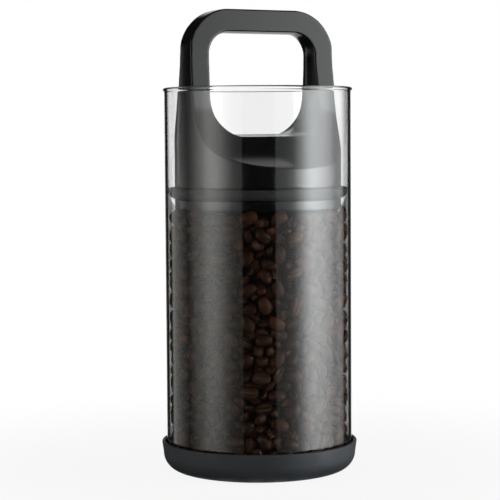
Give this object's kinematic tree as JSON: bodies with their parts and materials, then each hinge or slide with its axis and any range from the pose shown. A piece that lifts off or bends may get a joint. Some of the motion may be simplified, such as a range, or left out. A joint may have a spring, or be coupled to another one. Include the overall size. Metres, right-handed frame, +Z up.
{
  "type": "glass coffee canister",
  "caption": "Tall glass storage jar in a soft boot, with a push-down plunger lid that seals above the coffee beans and lifts out by an arch handle.",
  "frame": {"origin": "centre of the boot's underside, on the surface that the canister stands on", "axes": "+Z up along the jar, X across the handle, and the handle's front face looks along -Y"},
  "size_m": [0.1198, 0.1198, 0.2807],
  "materials": {
    "boot": "matte slate grey",
    "glass": "clear",
    "beans": "dark roast, slightly oily",
    "lid": "satin black",
    "handle": "satin charcoal",
    "core": "moulded dark grey",
    "seal": "matte black",
    "steel": "plain stainless"
  },
  "bodies": {
    "canister": {"base_boot": "boot", "glass_jar": "glass", "coffee_beans": "beans"},
    "plunger": {"piston_cup": "lid", "filter_disc": "steel", "cup_screw_1": "steel", "cup_screw_2": "steel", "cup_screw_3": "steel", "piston_core": "core", "wiper_seal": "seal", "valve_gasket": "seal", "valve_spring": "steel", "spring_cap": "core"},
    "handle": {"handle_shell": "handle", "valve_stem": "steel", "valve_disc": "core", "guide_screw_1": "steel", "guide_screw_2": "steel", "guide_screw_3": "steel"}
  },
  "joints": [
    {"name": "lid_slide", "type": "slide", "parent": "canister", "child": "plunger", "axis": [0, 0, 1], "range_m": [0, 0.1]},
    {"name": "handle_lift", "type": "slide", "parent": "plunger", "child": "handle", "axis": [0, 0, 1], "range_m": [0, 0.003], "stiffness_N_per_m": 1500, "springref_m": -0.003, "deforming": ["valve_spring"]}
  ]
}
